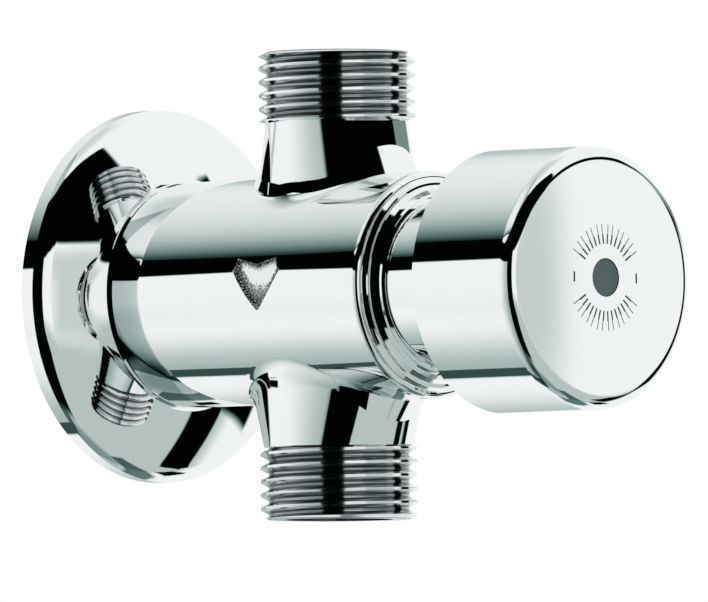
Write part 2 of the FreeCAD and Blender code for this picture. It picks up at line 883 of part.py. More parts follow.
def piston_lip_seal():
    turn(
        new_piece("piston_lip_seal"),
        "section",
        [
            ("lip_floor + ring_fit", "lip_from"),
            ("cylinder_bore - ring_fit - lip_leg / 2", "lip_from"),
            ("cylinder_bore - ring_fit", "lip_to - lip_leg / 2"),
            ("cylinder_bore - ring_fit - lip_leg", "lip_to - lip_leg / 2"),
            ("cylinder_bore - ring_fit - lip_leg - lip_leg / 3", "lip_from + lip_web"),
            ("lip_floor + ring_fit + lip_leg / 2", "lip_from + lip_web"),
            ("lip_floor + ring_fit + lip_leg / 2", "lip_to - lip_leg / 2"),
            ("lip_floor + ring_fit", "lip_to - lip_leg / 2"),
        ],
    )


# Spindle and what is fixed on it
def spindle():
    body = new_piece("spindle")
    turn(
        body,
        "rod",
        [
            ("0", "spindle_back"),
            ("spindle_radius", "spindle_back"),
            ("spindle_radius", "clip_back"),
            ("clip_groove", "clip_back"),
            ("clip_groove", "clip_front"),
            ("spindle_radius", "clip_front"),
            ("spindle_radius", "seat_station"),
            ("collar_radius", "seat_station"),
            ("collar_radius", "seat_station + collar_length"),
            ("spindle_radius", "seat_station + collar_length"),
            ("spindle_radius", "collar_back"),
            ("collar_radius", "collar_back"),
            ("collar_radius", "piston_rear"),
            ("spindle_radius", "piston_rear"),
            ("spindle_radius", "piston_front"),
            ("clip_groove", "piston_front"),
            ("clip_groove", "piston_clip_front"),
            ("spindle_radius", "piston_clip_front"),
            ("spindle_radius", "spindle_front"),
            ("0", "spindle_front"),
        ],
    )
    hole = [("0", "0", "screw_radius")]
    drill(body, "screw_hole", "XY_Plane", "spindle_front - screw_reach", hole, "screw_reach + cut_over")


def spring_clip(name, back, front):
    """An open retaining ring in the spindle's groove."""
    body = new_piece(name)
    ring = [
        ("clip_groove + clip_fit", back),
        ("clip_radius", back),
        ("clip_radius", front),
        ("clip_groove + clip_fit", front),
    ]
    turn(body, "ring", ring)
    box_cut(
        body,
        "gap",
        ("-clip_gap_half", "-clip_radius - cut_over", f"{back} - cut_over"),
        ("2 * clip_gap_half", "clip_radius + cut_over", f"{front} - ({back}) + 2 * cut_over"),
    )


def washer_carrier():
    turn(
        new_piece("washer_carrier"),
        "cup",
        [
            ("spindle_bore", "carrier_back"),
            ("carrier_radius", "carrier_back"),
            ("carrier_radius", "washer_back + carrier_rim"),
            ("washer_radius + ring_fit", "washer_back + carrier_rim"),
            ("washer_radius + ring_fit", "washer_back"),
            ("spindle_bore", "washer_back"),
        ],
    )


# Return spring
def biarc(start, start_way, end, end_way):
    """Two arcs that leave start and reach end along their unit directions."""
    span = end - start
    ways = start_way + end_way
    blend = 2 * (1 - start_way.dot(end_way))
    reach = (-span.dot(ways) + math.sqrt(span.dot(ways) ** 2 + blend * span.dot(span))) / blend
    near = start + start_way * reach
    far = end - end_way * reach
    join = (near + far) / 2
    return [bend(start, near, join), bend(join, far, end)]


def bend(start, corner, end):
    """The arc that touches start-corner and corner-end at its ends."""
    weight = (end - start).Length / ((corner - start).Length * 2)
    middle = (start + end + corner * 2 * weight) / (2 + 2 * weight)
    return Part.Arc(start, middle, end).toShape()


def return_spring():
    """A wire wound closer in its first and last turn, with a quarter turn to each pair of arcs."""
    wire = number("spring_wire")
    radius = number("spring_radius")
    turns = round(number("spring_turns"))
    end_pitch = number("spring_end_pitch")
    back = number("web_front + spring_seat_gap") + wire / 2
    front = number("piston_rear - spring_seat_gap") - wire / 2
    open_pitch = (front - back - 2 * end_pitch) / (turns - 2)
    steps = 4 * turns

    def rise(step):
        pitch = end_pitch if step < 4 or step >= steps - 4 else open_pitch
        return pitch / 4

    stations = [back + sum(rise(k) for k in range(step)) for step in range(steps + 1)]

    def spot(step):
        angle = step * math.pi / 2
        return FreeCAD.Vector(radius * math.cos(angle), radius * math.sin(angle), stations[step])

    def way(step):
        angle = step * math.pi / 2
        climb = (rise(max(step - 1, 0)) + rise(min(step, steps - 1))) / 2
        run = radius * math.pi / 2
        return FreeCAD.Vector(-math.sin(angle) * run, math.cos(angle) * run, climb).normalize()

    arcs = []
    for step in range(steps):
        arcs += biarc(spot(step), way(step), spot(step + 1), way(step + 1))
    path = Part.Wire(arcs)
    section = Part.Wire([Part.Circle(spot(0), way(0), wire / 2).toShape()])
    coil = path.makePipeShell([section], True, False)
    spring = doc.addObject("Part::Feature", "return_spring")
    spring.Label = "return_spring"
    spring.Shape = coil
    spring.Placement = OUTWARD
    pieces.append(spring)
    print(f"return_spring: least gap to itself {self_gap(path, turns) - wire:.2f} mm")
    share = coil.Volume / (math.pi * wire**2 / 4 * path.Length)
    print(f"return_spring: volume over section and length {share:.4f}")


def self_gap(path, turns):
    """The least distance between points of the wire's middle that are over half a turn apart."""
    per_turn = 48
    points = path.discretize(Number=per_turn * turns)
    pairs = (
        (points[i] - points[j]).Length
        for i in range(len(points))
        for j in range(i + per_turn // 2, len(points))
    )
    return min(pairs)


# Push button and what it holds
def push_button():
    body = new_piece("push_button")
    turn(
        body,
        "form",
        [
            ("0", "button_rear"),
            ("button_radius - button_rim_chamfer", "button_rear"),
            ("button_radius", "button_rear + button_rim_chamfer"),
            ("button_radius", "button_side_end", ("button_round", -1)),
            ("button_face_across", "button_face_edge", ("button_dome", -1)),
            ("0", "button_face"),
        ],
    )
    turn(
        body,
        "hollow",
        [
            ("0", "button_rear - cut_over"),
            ("button_bore", "button_rear - cut_over"),
            ("button_bore", "guide_front"),
            ("button_bore - guide_step", "guide_front"),
            ("button_bore - guide_step", "button_floor"),
            ("boss_radius", "button_floor"),
            ("boss_radius", "boss_rear"),
            ("0", "boss_rear"),
        ],
        cut=True,
    )
    turn(
        body,
        "screw_way",
        [
            ("0", "boss_rear - cut_over"),
            ("spindle_bore", "boss_rear - cut_over"),
            ("spindle_bore", "spindle_front"),
            ("screw_hole", "spindle_front"),
            ("screw_hole", "head_rear"),
            ("dot_hole", "head_rear"),
            ("dot_hole", "button_face + cut_over"),
            ("0", "button_face + cut_over"),
        ],
        cut=True,
    )


def button_screw():
    body = new_piece("button_screw")
    turn(
        body,
        "form",
        [
            ("0", "spindle_front - screw_reach + static_fit"),
            ("screw_radius - running_fit", "spindle_front - screw_reach + static_fit"),
            ("screw_radius - running_fit", "head_rear"),
            ("screw_head", "head_rear"),
            ("screw_head", "head_front"),
            ("0", "head_front"),
        ],
    )
    socket = [("0", "0", "screw_socket")]
    floor = "head_front - screw_socket_depth"
    drill(body, "socket", "XY_Plane", floor, socket, "screw_socket_depth + cut_over")


def button_dot():
    turn(
        new_piece("button_dot"),
        "plug",
        [
            ("0", "dot_rear"),
            ("dot_radius", "dot_rear"),
            ("dot_radius", "button_face - dot_crown", ("dot_dome", -1)),
            ("0", "button_face"),
        ],
    )


def build():
    wall_rosette()
    valve_body()
    bonnet()
    cartridge_housing()
    seals()
    cylinder_cap()
    spindle_bush()
    metering_needle()
    metering_bush()
    piston()
    piston_lip_seal()
    spindle()
    spring_clip("carrier_clip", "clip_back", "clip_front")
    spring_clip("piston_clip", "piston_front", "piston_clip_front")
    washer_carrier()
    flat_ring("valve_washer", "spindle_bore", "washer_radius", "washer_back", "seat_station")
    return_spring()
    push_button()
    flat_ring("button_guide_ring", "guide_bore", "button_bore - ring_fit", "guide_rear", "guide_front")
    button_screw()
    button_dot()


def check_and_write():
    """Stop on any failed object or broken solid, and then write each piece to its own file."""
    doc.recompute()
    for item in doc.Objects:
        if "Invalid" in item.State or "Error" in item.State:
            raise RuntimeError(f"{item.Label} did not compute: {item.State}")
    for piece in pieces:
        shape = piece.Shape
        if shape.isNull() or not shape.isValid() or len(shape.Solids) != 1:
            raise RuntimeError(f"{piece.Label} is not one sound solid")
    os.makedirs("parts", exist_ok=True)
    for piece in pieces:
        piece.Shape.exportStep(f"parts/{piece.Label}.step")
        box = piece.Shape.BoundBox
        print(f"{piece.Label}: {piece.Shape.Volume:.1f} mm3, Y {box.YMin:.2f} to {box.YMax:.2f}")


write_sheet()
gauge = doc.addObject("App::FeaturePython", "Gauge")
gauge.addProperty("App::PropertyFloat", "Value")
build()
check_and_write()
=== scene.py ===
"""Dresses the urinal flush valve: its finishes, its cast and turned details, and its studio."""
import json
import math

import bmesh
import bpy
import numpy as np
from mathutils import Matrix, Vector, noise as lumps

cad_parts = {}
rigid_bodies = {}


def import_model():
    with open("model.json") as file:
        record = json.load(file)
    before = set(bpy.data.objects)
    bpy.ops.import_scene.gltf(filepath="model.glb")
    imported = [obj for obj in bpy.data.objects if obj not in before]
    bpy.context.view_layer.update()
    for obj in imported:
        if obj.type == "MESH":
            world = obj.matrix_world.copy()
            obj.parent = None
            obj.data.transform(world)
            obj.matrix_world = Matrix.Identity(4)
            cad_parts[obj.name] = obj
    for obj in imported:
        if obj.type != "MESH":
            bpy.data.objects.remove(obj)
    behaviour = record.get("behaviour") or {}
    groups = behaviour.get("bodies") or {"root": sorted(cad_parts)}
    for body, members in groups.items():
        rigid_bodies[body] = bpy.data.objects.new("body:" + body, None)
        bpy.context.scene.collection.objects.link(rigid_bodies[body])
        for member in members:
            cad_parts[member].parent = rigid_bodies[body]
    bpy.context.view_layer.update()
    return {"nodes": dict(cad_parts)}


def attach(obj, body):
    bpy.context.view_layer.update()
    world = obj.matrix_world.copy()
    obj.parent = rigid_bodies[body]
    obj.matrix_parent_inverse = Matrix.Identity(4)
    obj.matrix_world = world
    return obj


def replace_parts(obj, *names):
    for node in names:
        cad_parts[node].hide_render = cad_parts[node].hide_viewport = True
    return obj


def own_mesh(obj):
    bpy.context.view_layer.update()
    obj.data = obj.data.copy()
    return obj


for left_over in list(bpy.data.objects):
    bpy.data.objects.remove(left_over)

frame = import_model()
MM = 0.001
DEGREES = 180 / math.pi
HALVINGS = 40

# Sizes of the valve that a finish or a piece follows, in millimetres. A station is a distance from
# the wall, and a level is a distance from the valve's axis along the pipe.
PIPE_STATION = 34.7
BODY_RADIUS = 15.15
INLET_SHOULDER = 22.34
INLET_NECK = 9.45
OUTLET_SHOULDER = 21.09
OUTLET_NECK = 10.0
FRONT_FILLET = 1.5
SIDE_FILLET = 5.5
STUB_DROP = 9.0
SKIN_LIFT = 0.008
OUTLET_THREAD = (-31.4, -21.2)
INLET_THREAD = (22.4, 32.2)
THREAD_ROOT = 9.3
THREAD_FLANK = 10.2

# The flow arrow: half of its outline, as level and distance from its middle, and its lining
ARROW_HALF = [(3.2, 0.0), (4.25, 3.6), (2.1, 4.45), (-3.5, 0.25), (-3.5, 0.0)]
ARROW_SHIFT = 0.7
ARROW_DEPTH = 1.0
ARROW_WALL = 0.75
ARROW_LOBE = 1.3
PEBBLE_HEIGHT = 0.16
LINING_THICKNESS = 0.5
LINING_SINK = 0.045
LINING_LIFT = 0.03

# The engraved ring: radii and edges in millimetres, the ticks' step and the free sides in degrees
TICK_STEP = 9.0
TICK_INNER = 4.45
LONG_TICK = 7.05
SHORT_TICK = 5.75
FREE_SIDE = 26.0
DASH = (5.78, 6.08)
DASH_HALF_HEIGHT = 0.68
RING_STATION = 80.0

# The camera, from the photograph, in millimetres; it aims to the right of a station, and below it
CAMERA_AZIMUTH = math.radians(-45.81)
CAMERA_ELEVATION = math.radians(-2.17)
CAMERA_ROLL = math.radians(-0.325)
CAMERA_DISTANCE = 2726.0
CAMERA_LENS = 1038.46
SENSOR_WIDTH = 36.0
AIM_STATION = 34.72
AIM_RIGHT = 2.089
AIM_DOWN = 1.618

# The floor, in millimetres
FLOOR_RADIUS = 8000.0
FLOOR_LEVEL = -160.0


class Value:
    """A socket of a node tree that ordinary sums work on."""

    def __init__(self, tree, socket):
        self.tree = tree
        self.socket = socket

    def math(self, operation, *others):
        return node(self.tree, "Math", {"operation": operation}, self, *others)

    def __add__(self, other):
        return self.math("ADD", other)

    def __radd__(self, other):
        return self.math("ADD", other)

    def __sub__(self, other):
        return self.math("SUBTRACT", other)

    def __rsub__(self, other):
        return node(self.tree, "Math", {"operation": "SUBTRACT"}, other, self)

    def __mul__(self, other):
        return self.math("MULTIPLY", other)

    def __rmul__(self, other):
        return self.math("MULTIPLY", other)

    def __truediv__(self, other):
        return self.math("DIVIDE", other)

    def __pow__(self, other):
        return self.math("POWER", other)

    def __neg__(self):
        return self.math("MULTIPLY", -1.0)


def node(tree, kind, settings=None, *inputs, out=0, **named):
    """One node of a kind, its settings first, then the values or links of its sockets."""
    made = tree.nodes.new("ShaderNode" + kind)
    for name, setting in (settings or {}).items():
        setattr(made, name, setting)
    sockets = [socket for socket in made.inputs if socket.enabled]
    pairs = list(zip(sockets, inputs)) + [
        (next(socket for socket in sockets if socket.name == name.replace("_", " ")), value)
        for name, value in named.items()
    ]
    for socket, value in pairs:
        join(socket, value)
    outputs = [socket for socket in made.outputs if socket.enabled]
    return Value(tree, outputs[out])


def join(socket, value):
    """Link a value to a socket, or set the socket to a number or a colour."""
    if isinstance(value, Value):
        value.tree.links.new(value.socket, socket)
    else:
        socket.default_value = value


def rising(value, start, end):
    """0 before start, 1 after end, smooth between."""
    settings = {"interpolation_type": "SMOOTHSTEP"}
    return node(value.tree, "MapRange", settings, value, start, end, 0.0, 1.0)


def within(value, low, high, soft):
    """1 between low and high, fading over soft at each end."""
    return rising(value, low - soft / 2, low + soft / 2) * (
        1.0 - rising(value, high - soft / 2, high + soft / 2)
    )


def blend(factor, first, second):
    """A colour between two others."""
    return node(factor.tree, "Mix", {"data_type": "RGBA"}, factor, first, second)


def noise(place, scale, detail=2.0, roughness=0.5):
    """A cloudy pattern from 0 to 1, its scale in lumps to the metre."""
    settings = {"noise_dimensions": "3D"}
    return node(
        place.tree, "TexNoise", settings, Vector=place, Scale=scale, Detail=detail, Roughness=roughness
    )


def stretched(place, x, y, z):
    """The place with each axis scaled, so that a pattern runs along one of them."""
    return node(place.tree, "VectorMath", {"operation": "MULTIPLY"}, place, (x, y, z))


def bump(height, strength, distance):
    """A normal from a height of 0 to 1 that stands for distance millimetres."""
    return node(height.tree, "Bump", None, Strength=strength, Distance=distance * MM, Height=height)


def parts(vector):
    """The three numbers of a vector."""
    split = node(vector.tree, "SeparateXYZ", None, vector)
    return [Value(vector.tree, output) for output in split.socket.node.outputs]


def in_millimetres(place):
    """The x, y and z of a place, in millimetres."""
    return parts(node(place.tree, "VectorMath", {"operation": "SCALE"}, place, 1000.0))


def material(name):
    """A new material, its principled shader and its Object coordinates."""
    made = bpy.data.materials.new(name)
    made.use_nodes = True
    tree = made.node_tree
    shader = next(item for item in tree.nodes if item.type == "BSDF_PRINCIPLED")
    return made, shader, node(tree, "TexCoord", None, out=3)


def feed(shader, **values):
    """Set or link the principled shader's sockets."""
    for name, value in values.items():
        join(shader.inputs[name.replace("_", " ")], value)


# Finishes

CHROME_LIGHT = (0.935, 0.945, 0.945, 1)
CHROME_DEEP = (0.905, 0.920, 0.925, 1)
# painted shade for the thread roots and the dark streaks along the cutter lines
THREAD_PAINTED_SHADE = (0.16, 0.18, 0.19, 1)
ENGRAVED = (0.035, 0.040, 0.042, 1)
CAST_LIGHT = (0.88, 0.90, 0.90, 1)
# near black for the pits on the arrow's walls and tip: painted shade
CAST_PIT_PAINTED_SHADE = (0.03, 0.035, 0.035, 1)


def plating(cloud):
    """Chrome's colour, with slightly deeper clouds in it."""
    return blend(cloud, CHROME_LIGHT, CHROME_DEEP)


def body_chrome():
    """Polished casting: a slight hand-polished waviness, and cutter lines in the two threads, with painted
    shade at the thread roots and painted dark streaks along the cutter lines.
    """
    made, shader, place = material("polished cast chrome")
    x, y, z = in_millimetres(place)
    cloud = noise(place, 90.0, 3.0)
    turned = within(z, *OUTLET_THREAD, 0.3).math("MAXIMUM", within(z, *INLET_THREAD, 0.3))
    along = y + PIPE_STATION
    from_pipe = (x * x + along * along).math("SQRT")
    # painted shade: the chrome's colour darkens towards the thread roots
    root = turned * (1.0 - rising(from_pipe, THREAD_ROOT, THREAD_FLANK))
    cutter = noise(stretched(place, 40.0, 40.0, 7000.0), 1.0, 2.0)
    wave = noise(place, 55.0, 1.0)
    # painted shade: the thread roots, with dark streaks painted along the cutter lines
    painted_thread_shade = root * 0.75 + turned * 2.2 * (cutter - 0.43)
    feed(
        shader,
        Base_Color=blend(painted_thread_shade, plating(cloud), THREAD_PAINTED_SHADE),
        Metallic=1.0,
        Roughness=0.018 + 0.012 * cloud + turned * (0.04 + 0.10 * cutter),
        Normal=bump(wave + turned * cutter * 1.2, 0.35, 0.02),
    )
    return made


def rosette_chrome():
    """Pressed and polished sheet: long shallow waves from the press, a little duller at the rim."""
    made, shader, place = material("pressed chrome")
    x, y, z = in_millimetres(place)
    cloud = noise(place, 60.0, 2.0)
    from_axis = (x * x + z * z).math("SQRT")
    press = noise(stretched(place, 30.0, 30.0, 30.0), 1.0, 1.0)
    feed(
        shader,
        Base_Color=plating(cloud),
        Metallic=1.0,
        Roughness=0.015 + 0.01 * cloud + 0.0002 * from_axis,
        Normal=bump(press, 0.3, 0.02),
    )
    return made


def bonnet_chrome():
    """Turned and plated: fine rings from the lathe."""
    made, shader, place = material("turned chrome")
    rings = noise(stretched(place, 40.0, 5000.0, 40.0), 1.0, 2.0)
    cloud = noise(place, 120.0, 2.0)
    feed(
        shader,
        Base_Color=plating(cloud),
        Metallic=1.0,
        Roughness=0.02 + 0.025 * rings,
        Normal=bump(rings, 0.12, 0.01),
    )
    return made


def mark_ring(x, y, z):
    """The engraved ring: two arcs of plain ticks, and a dash at each side between them."""
    from_axis = (x * x + z * z).math("SQRT")
    turn = z.math("ARCTAN2", x) * DEGREES
    beat = (turn / TICK_STEP + 100.0).math("FRACT") - 0.5
    long_beat = (turn / (2 * TICK_STEP) + 100.0).math("FRACT") - 0.5
    sideways = beat.math("ABSOLUTE") * from_axis * math.radians(TICK_STEP)
    shorter = rising(long_beat.math("ABSOLUTE"), 0.24, 0.26)
    tall = within(from_axis, TICK_INNER, LONG_TICK, 0.06)
    low = within(from_axis, TICK_INNER, SHORT_TICK, 0.06)
    ticks = (1.0 - rising(sideways, 0.10, 0.15)) * (tall + (low - tall) * shorter)
    ticks = ticks * within(turn.math("ABSOLUTE"), FREE_SIDE, 180.0 - FREE_SIDE, 0.4)
    dash = within(x.math("ABSOLUTE"), *DASH, 0.05)
    dash = dash * within(z, -DASH_HALF_HEIGHT, DASH_HALF_HEIGHT, 0.05)
    front = 1.0 - rising(y, -RING_STATION, -RING_STATION + 0.1)
    return ticks.math("MAXIMUM", dash) * front


def button_chrome():
    """Turned, polished cap, with the engraved ring on its face."""
    made, shader, place = material("polished button chrome")
    cloud = noise(place, 80.0, 2.0)
    wave = noise(place, 35.0, 1.0)
    engraved = mark_ring(*in_millimetres(place))
    feed(
        shader,
        Base_Color=blend(engraved, plating(cloud), ENGRAVED),
        Metallic=1.0 - 0.75 * engraved,
        Roughness=0.014 + 0.012 * cloud + 0.45 * engraved,
        Normal=bump(wave - 0.6 * engraved, 0.25, 0.02),
    )
    return made


def moulded(name, colour, deep, roughness, grain=900.0, depth=0.01):
    """A moulded or pressed material with a fine grain."""
    made, shader, place = material(name)
    cloud = noise(place, 150.0, 3.0)
    fine = noise(place, grain, 3.0, 0.6)
    feed(
        shader,
        Base_Color=blend(cloud, colour, deep),
        Roughness=roughness + 0.08 * fine,
        Normal=bump(fine, 0.4, depth),
    )
    return made


def worked_metal(name, colour, deep, roughness, lines):
    """Turned or drawn metal, its lines round the valve's axis."""
    made, shader, place = material(name)
    rings = noise(stretched(place, 50.0, lines, 50.0), 1.0, 2.0)
    cloud = noise(place, 130.0, 3.0)
    feed(
        shader,
        Base_Color=blend(cloud, colour, deep),
        Metallic=1.0,
        Roughness=roughness + 0.12 * rings,
        Normal=bump(rings, 0.25, 0.01),
    )
    return made


def cast_floor():
    """The arrow's floor, as cast and plated: smooth in the middle, pitted on the walls and at the tip,
    where the pits are painted near black as painted shade of the recess.
    """
    made, shader, place = material("plated casting skin")
    x, y, z = in_millimetres(place)
    speck = noise(place, 5200.0, 2.0, 0.6)
    walls = rising(-x, 14.2, 14.5).math("MAXIMUM", 1.0 - rising(z, -2.6, 0.8))
    # the pits on the walls and at the tip are painted near black: painted shade of the recess, over the
    # real pitting in the bump and roughness
    painted_pit_shade = rising(speck, 0.36, 0.52) * walls
    feed(
        shader,
        Base_Color=blend(painted_pit_shade, CAST_LIGHT, CAST_PIT_PAINTED_SHADE),
        Metallic=1.0,
        Roughness=0.08 + 0.12 * speck + 0.2 * walls,
        Normal=bump(speck * (0.15 + walls), 0.8, 0.06),
    )
    return made


FINISHES = {
    "body_chrome": body_chrome(),
    "rosette_chrome": rosette_chrome(),
    "bonnet_chrome": bonnet_chrome(),
    "button_chrome": button_chrome(),
    "dot_plastic": moulded(
        "grey moulded plug", (0.080, 0.115, 0.119, 1), (0.078, 0.112, 0.116, 1), 0.42, 500.0, 0.001
    ),
    "guide_plastic": moulded(
        "white moulded ring", (0.80, 0.80, 0.77, 1), (0.74, 0.74, 0.71, 1), 0.35
    ),
    "acetal": moulded("natural acetal", (0.83, 0.82, 0.78, 1), (0.76, 0.75, 0.71, 1), 0.30),
    "rubber": moulded("black seal rubber", (0.022, 0.022, 0.023, 1), (0.035, 0.034, 0.034, 1), 0.5),
    "fibre": moulded(
        "pressed fibre", (0.30, 0.17, 0.10, 1), (0.22, 0.12, 0.07, 1), 0.75, 1500.0, 0.03
    ),
    "brass": worked_metal(
        "turned brass", (0.83, 0.62, 0.28, 1), (0.76, 0.55, 0.23, 1), 0.14, 4200.0
    ),
    "steel": worked_metal(
        "drawn steel", (0.68, 0.69, 0.70, 1), (0.60, 0.61, 0.62, 1), 0.16, 3000.0
    ),
}


def dress_nodes():
    """Give every carried-over piece its finish, by the slot that it was packed with."""
    for piece in frame["nodes"].values():
        for place in piece.material_slots:
            name = place.material.name.split(".")[0]
            place.material = FINISHES[name]


# Pieces


def linked(name, data):
    """A new object in the scene, of a mesh, a lamp or a camera."""
    made = bpy.data.objects.new(name, data)
    bpy.context.scene.collection.objects.link(made)
    return made


def on_valve(name, mesh):
    """A piece that rides on the valve's fixed body."""
    piece = linked(name, mesh)
    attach(piece, "valve")
    return piece


def finished(name, shape, finish, sharp=40):
    """A piece made of a bmesh in the row frame, smooth but for edges of more than sharp degrees."""
    mesh = bpy.data.meshes.new(name)
    shape.to_mesh(mesh)
    shape.free()
    mesh.shade_smooth()
    mesh.set_sharp_from_angle(angle=math.radians(sharp))
    mesh.materials.append(finish)
    return on_valve(name, mesh)


def full_turn(shape, line, edges, axis, steps):
    """Spin a line of points and its edges a full turn about an axis through the origin."""
    bmesh.ops.spin(
        shape,
        geom=line + edges,
        cent=(0, 0, 0),
        axis=axis,
        angle=2 * math.pi,
        steps=steps,
        use_merge=True,
    )


def all_of(shape):
    return list(shape.verts) + list(shape.edges) + list(shape.faces)


def cast_body():
    """The valve body as packed, with the plain feet of its stubs drawn in under the castings."""
    foot_top, foot_reach = 18.6, 16.0
    cone_radius, inlet_cone_level, outlet_cone_level = 9.95, 17.0, 22.0
    inlet_cone_slope, outlet_cone_slope = 0.093, 0.068
    wall_inner, wall_drawn = 9.0, 9.2
    mesh = frame["nodes"]["valve_body"].data.copy()
    spots = np.empty(len(mesh.vertices) * 3)
    mesh.vertices.foreach_get("co", spots)
    spots = spots.reshape(-1, 3) / MM
    x, along, z = spots[:, 0], spots[:, 1] + PIPE_STATION, spots[:, 2]
    level, upper = np.abs(z), z > 0
    round_axis, round_pipe = np.hypot(x, z), np.hypot(x, along)

    # the fillets sink to the barrel, and the cones above them are drawn in
    shoulder = np.where(upper, INLET_SHOULDER, OUTLET_SHOULDER) - 0.3
    proud = (round_axis > BODY_RADIUS + 0.001) & (level < shoulder) & (round_pipe < foot_reach)
    cone_level = np.where(upper, inlet_cone_level, outlet_cone_level)
    cone_slope = np.where(upper, inlet_cone_slope, outlet_cone_slope)
    foot = proud & (round_pipe > np.where(upper, INLET_NECK, OUTLET_NECK) + 0.02)
    foot &= level < foot_top
    foot &= round_pipe > cone_radius + (cone_level - level) * cone_slope
    wall = proud & ~foot & (round_pipe > wall_inner)
    sunk = np.where(foot, BODY_RADIUS / np.maximum(round_axis, 1.0), 1.0)
    drawn = np.where(wall, wall_drawn / np.maximum(round_pipe, 1.0), 1.0)
    normals = np.array([tuple(corner.vector) for corner in mesh.corner_normals])
    owner = np.empty(len(mesh.loops), dtype=int)
    mesh.loops.foreach_get("vertex_index", owner)
    spots[:, 0], spots[:, 2] = x * sunk, z * sunk
    spots[:, 0] *= drawn
    spots[:, 1] = along * drawn - PIPE_STATION

    # what sank is shaded like the barrel
    radial = np.stack([spots[:, 0], np.zeros(len(spots)), spots[:, 2]], axis=1)
    radial /= np.maximum(np.linalg.norm(radial, axis=1, keepdims=True), 1e-6)
    normals[foot[owner]] = radial[owner[foot[owner]]]
    mesh.vertices.foreach_set("co", (spots * MM).ravel())
    mesh.normals_split_custom_set(normals)
    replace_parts(on_valve("valve_body_casting", mesh), "valve_body")


def spring_coil():
    """The return spring as packed, as a piece of its own on the valve's body."""
    mesh = frame["nodes"]["return_spring"].data.copy()
    piece = on_valve("return_spring_coil", mesh)
    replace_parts(piece, "return_spring")
    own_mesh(piece)


def face_ring():
    """The turned ring at the body's front: a stepped bevel, a narrow face and a bevel down to the neck."""
    profile = [
        (15.10, 51.90),
        (15.10, 52.02),
        (14.50, 52.62),
        (14.46, 52.62),
        (14.06, 53.02),
        (14.02, 53.02),
        (13.78, 53.26),
        (13.74, 53.26),
        (13.56, 53.36),
        (13.20, 53.44),
        (13.16, 53.37),
        (13.12, 53.46),
        (12.75, 53.56),
        (11.68, 54.45),
        (11.55, 54.45),
        (11.55, 51.90),
    ]
    shape = bmesh.new()
    loop = [shape.verts.new((radius * MM, -station * MM, 0)) for radius, station in profile]
    edges = [shape.edges.new(pair) for pair in zip(loop, loop[1:] + loop[:1])]
    full_turn(shape, loop, edges, (0, 1, 0), 360)
    bmesh.ops.remove_doubles(shape, verts=shape.verts, dist=1e-7)
    bmesh.ops.recalc_face_normals(shape, faces=shape.faces)
    finished("bonnet_face_ring", shape, FINISHES["bonnet_chrome"], sharp=12)


def stub_skin(name, sign, shoulder, neck, across_degrees, along_degrees):
    """A cast stub, drawn out along the valve where it meets the barrel and blended into it.

    A line of points is spun round the pipe, and each point then moves to where its ray, from a
    pivot inside the casting, leaves the blended form."""
    rows, turns = 110, 300
    pivot_out, pivot_up = 4.0, 8.0
    slope_across = math.tan(math.radians(across_degrees))
    slope_along = math.tan(math.radians(along_degrees))
    shape = bmesh.new()
    line = [shape.verts.new((1.0 + row, 0, 0)) for row in range(rows)]
    edges = [shape.edges.new(pair) for pair in zip(line, line[1:])]
    full_turn(shape, line, edges, (0, 0, 1), turns)
    shape.verts.ensure_lookup_table()
    spun = np.array([tuple(vert.co) for vert in shape.verts])
    around = np.arctan2(spun[:, 1], spun[:, 0])
    share = (np.hypot(spun[:, 0], spun[:, 1]) - 1.0) / (rows - 1)
    across, along = np.cos(around), np.sin(around)
    fillet = FRONT_FILLET + (SIDE_FILLET - FRONT_FILLET) * across**8

    def wall(out, up):
        """How far outside the drawn-out stub a point is, and how far that wall leans to the barrel."""
        drop = np.minimum(shoulder - up, STUB_DROP)
        wide = neck + drop * slope_across
        long = neck + drop * slope_along
        scale = np.hypot(out * across / wide, out * along / long)
        steep = np.hypot(out * across / wide**2, out * along / long**2) / scale
        lean = out * across**2 / wide**2 / scale / steep * out / np.hypot(out * across, up)
        return (scale - 1.0) / steep, np.clip(lean, -0.2, 0.95)

    def outside(out, up):
        """How far outside the casting a point is, with a round fillet from the stub to the barrel."""
        stub, lean = wall(out, up)
        barrel = np.hypot(out * across, up) - BODY_RADIUS
        first, second = stub - fillet, barrel - fillet
        centre = np.sqrt((first**2 + second**2 - 2 * lean * first * second) / (1 - lean**2))
        hollow = (first < lean * second) & (second < lean * first)
        return np.where(hollow, fillet - centre, np.minimum(stub, barrel)) - SKIN_LIFT

    def barrel_height(out):
        return np.sqrt(np.maximum(BODY_RADIUS**2 - (out * across) ** 2, 0.0))

    # where the foot ends on the barrel, just past its fillet
    low, high = np.full(len(spun), 9.0), np.full(len(spun), 16.0)
    high = np.minimum(high, (BODY_RADIUS - 0.05) / np.maximum(np.abs(across), 0.05))
    for halving in range(HALVINGS):
        middle = (low + high) / 2
        stub, lean = wall(middle, barrel_height(middle))
        inside = stub < fillet * (1.0 - lean) + 0.3
        low, high = np.where(inside, middle, low), np.where(inside, high, middle)

    # rays from the pivot, spread from the shoulder to the foot
    start = math.atan2(shoulder - pivot_up, neck - pivot_out)
    end = np.arctan2(barrel_height(low) - pivot_up, low - pivot_out)
    angle = start + (end - start) * share
    near, far = np.zeros(len(spun)), np.full(len(spun), 30.0)
    for halving in range(HALVINGS):
        reach = (near + far) / 2
        out, up = pivot_out + reach * np.cos(angle), pivot_up + reach * np.sin(angle)
        within_form = outside(out, up) < 0
        near, far = np.where(within_form, reach, near), np.where(within_form, far, reach)
    for vert, o, u, c, a in zip(shape.verts, out, up, across, along):
        vert.co = (o * c * MM, (o * a - PIPE_STATION) * MM, sign * u * MM)
    close_rims(shape, sign, (shoulder - 0.5) * MM)
    finished(name, shape, FINISHES["body_chrome"])


